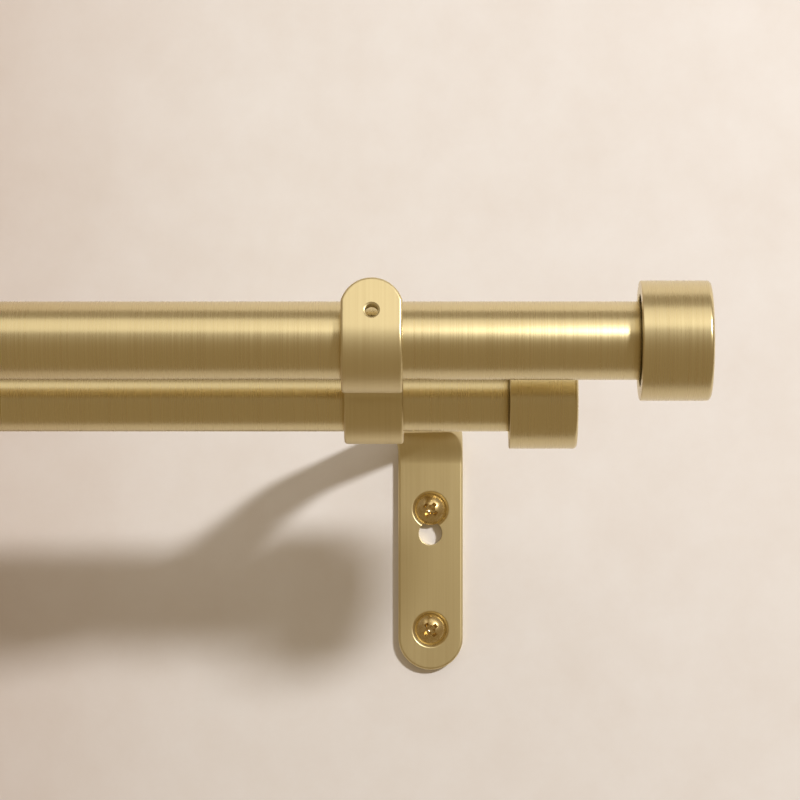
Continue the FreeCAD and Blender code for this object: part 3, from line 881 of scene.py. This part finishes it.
def rolledPaint(name, look):
    # matt emulsion rolled on plaster: pale, faintly mottled, with a painted shade darkening it towards the
    # left; nothing shows from behind it
    material = bpy.data.materials.new(name)
    material.use_nodes = True
    tree = material.node_tree
    shader = tree.nodes["Principled BSDF"]
    place = addNode(tree, "ShaderNodeTexCoord", {}, {})
    mottle = addNode(tree, "ShaderNodeTexNoise", {
        "Scale": 1 / (look["mottle"] * mm),
        "Detail": 5.0,
        "Roughness": 0.65,
    }, {"Vector": place.outputs["Object"]})
    tone = addNode(tree, "ShaderNodeValToRGB", {}, {"Fac": mottle.outputs["Fac"]})
    tone.color_ramp.elements[0].position = look["warmBelow"]
    tone.color_ramp.elements[0].color = linearColour(look["paintWarm"])
    tone.color_ramp.elements[1].position = look["paleAbove"]
    tone.color_ramp.elements[1].color = linearColour(look["paint"])
    # painted shade: the paint is multiplied darker towards the left, standing in for the light falling away
    # there
    across = addNode(tree, "ShaderNodeSeparateXYZ", {}, {0: place.outputs["Object"]})
    turned = addNode(tree, "ShaderNodeMapRange", {
        "interpolation_type": "SMOOTHSTEP",
        "From Min": look["paintedShadeFrom"],
        "From Max": look["paintedShadeTo"],
    }, {"Value": across.outputs["X"]})
    paintedShadeMix = addNode(tree, "ShaderNodeMix", {
        "data_type": "RGBA",
        "blend_type": "MULTIPLY",
        7: linearColour(look["shade"]),    # colour B, with colour A at 6
    }, {0: turned.outputs["Result"], 6: tone.outputs["Color"]})
    roller = addNode(tree, "ShaderNodeTexNoise", {
        "Scale": 1 / (look["roller"] * 2 * mm),
        "Detail": 2.0,
    }, {"Vector": place.outputs["Object"]})
    bump = addNode(tree, "ShaderNodeBump", {
        "Strength": look["rollerBump"],
        "Distance": look["rollerHeight"] * mm,
    }, {"Height": roller.outputs["Fac"]})
    shader.inputs["Roughness"].default_value = look["roughness"]
    shader.inputs["Specular IOR Level"].default_value = look["specular"]
    tree.links.new(paintedShadeMix.outputs[2], shader.inputs["Base Color"])
    tree.links.new(bump.outputs["Normal"], shader.inputs["Normal"])
    facing = addNode(tree, "ShaderNodeNewGeometry", {}, {})
    clear = addNode(tree, "ShaderNodeBsdfTransparent", {}, {})
    oneSided = addNode(tree, "ShaderNodeMixShader", {}, {
        "Fac": facing.outputs["Backfacing"],
        1: shader.outputs["BSDF"],
        2: clear.outputs["BSDF"],
    })
    tree.links.new(oneSided.outputs["Shader"], tree.nodes["Material Output"].inputs["Surface"])
    return material


bm = bmesh.new()
reach = wallLook["size"] / 2
face = wallLook["face"] * mm
corners = [(-reach, face, -reach), (reach, face, -reach), (reach, face, reach), (-reach, face, reach)]
bm.faces.new([bm.verts.new(corner) for corner in corners])
bm.normal_update()
wallMesh = bpy.data.meshes.new("wall")
bm.to_mesh(wallMesh)
bm.free()
wallMesh.materials.append(rolledPaint("rolledPaint", wallLook))
wall = bpy.data.objects.new("wall", wallMesh)
bpy.context.scene.collection.objects.link(wall)


# Light

studio = {
    "target": (0.27, -0.07, 0.03),
    "keyPlace": (0.91, -0.94, 0.522),
    "keySize": (0.13, 0.08),
    "keyPower": 11.4,
    "keyColour": "FFFDFA",
    "fillPlace": (0.2, -1.22, 1.19),
    "fillSize": (2.2, 1.2),
    "fillPower": 5.9,
    "fillColour": "FFFBF4",
    "skyColour": "A2937E",
    "groundColour": "9B886A",
    "groundUpTo": -0.15,  # sines of the heights between which the colours blend
    "skyFrom": 0.35,
}

for name in ("key", "fill"):
    lamp = bpy.data.lights.new(name + "Lamp", "AREA")
    lamp.shape = "RECTANGLE"
    lamp.size, lamp.size_y = studio[name + "Size"]
    lamp.energy = studio[name + "Power"]
    lamp.color = linearColour(studio[name + "Colour"])[:3]
    holder = bpy.data.objects.new(name + "Lamp", lamp)
    holder.location = studio[name + "Place"]
    away = holder.location - Vector(studio["target"])
    holder.rotation_euler = away.to_track_quat("Z", "Y").to_euler()
    bpy.context.scene.collection.objects.link(holder)

world = bpy.data.worlds.new("studio")
bpy.context.scene.world = world
world.use_nodes = True
tree = world.node_tree
sky = tree.nodes["Background"]
view = addNode(tree, "ShaderNodeTexCoord", {}, {})
height = addNode(tree, "ShaderNodeSeparateXYZ", {}, {0: view.outputs["Generated"]})
rise = addNode(tree, "ShaderNodeMapRange", {
    "From Min": studio["groundUpTo"],
    "From Max": studio["skyFrom"],
}, {"Value": height.outputs["Z"]})
shade = addNode(tree, "ShaderNodeValToRGB", {}, {"Fac": rise.outputs["Result"]})
shade.color_ramp.elements[0].color = linearColour(studio["groundColour"])
shade.color_ramp.elements[1].color = linearColour(studio["skyColour"])
tree.links.new(shade.outputs["Color"], sky.inputs["Color"])
print("wall and light set")


# Camera

viewpoint = {
    "place": (0.2771, -0.924, 0.050),
    "lens": 148.5,       # mm
    "sensor": 36.0,      # mm
    "pitch": -0.17,      # degrees
    "yaw": 0.35,
}
camera = bpy.data.cameras.new("camera")
camera.lens = viewpoint["lens"]
camera.sensor_width = viewpoint["sensor"]
tripod = bpy.data.objects.new("camera", camera)
tripod.location = viewpoint["place"]
tripod.rotation_euler = (math.radians(90 + viewpoint["pitch"]), 0, math.radians(viewpoint["yaw"]))
bpy.context.scene.collection.objects.link(tripod)
bpy.context.scene.camera = tripod
bpy.context.scene.view_settings.view_transform = "Standard"

print("scene ready")
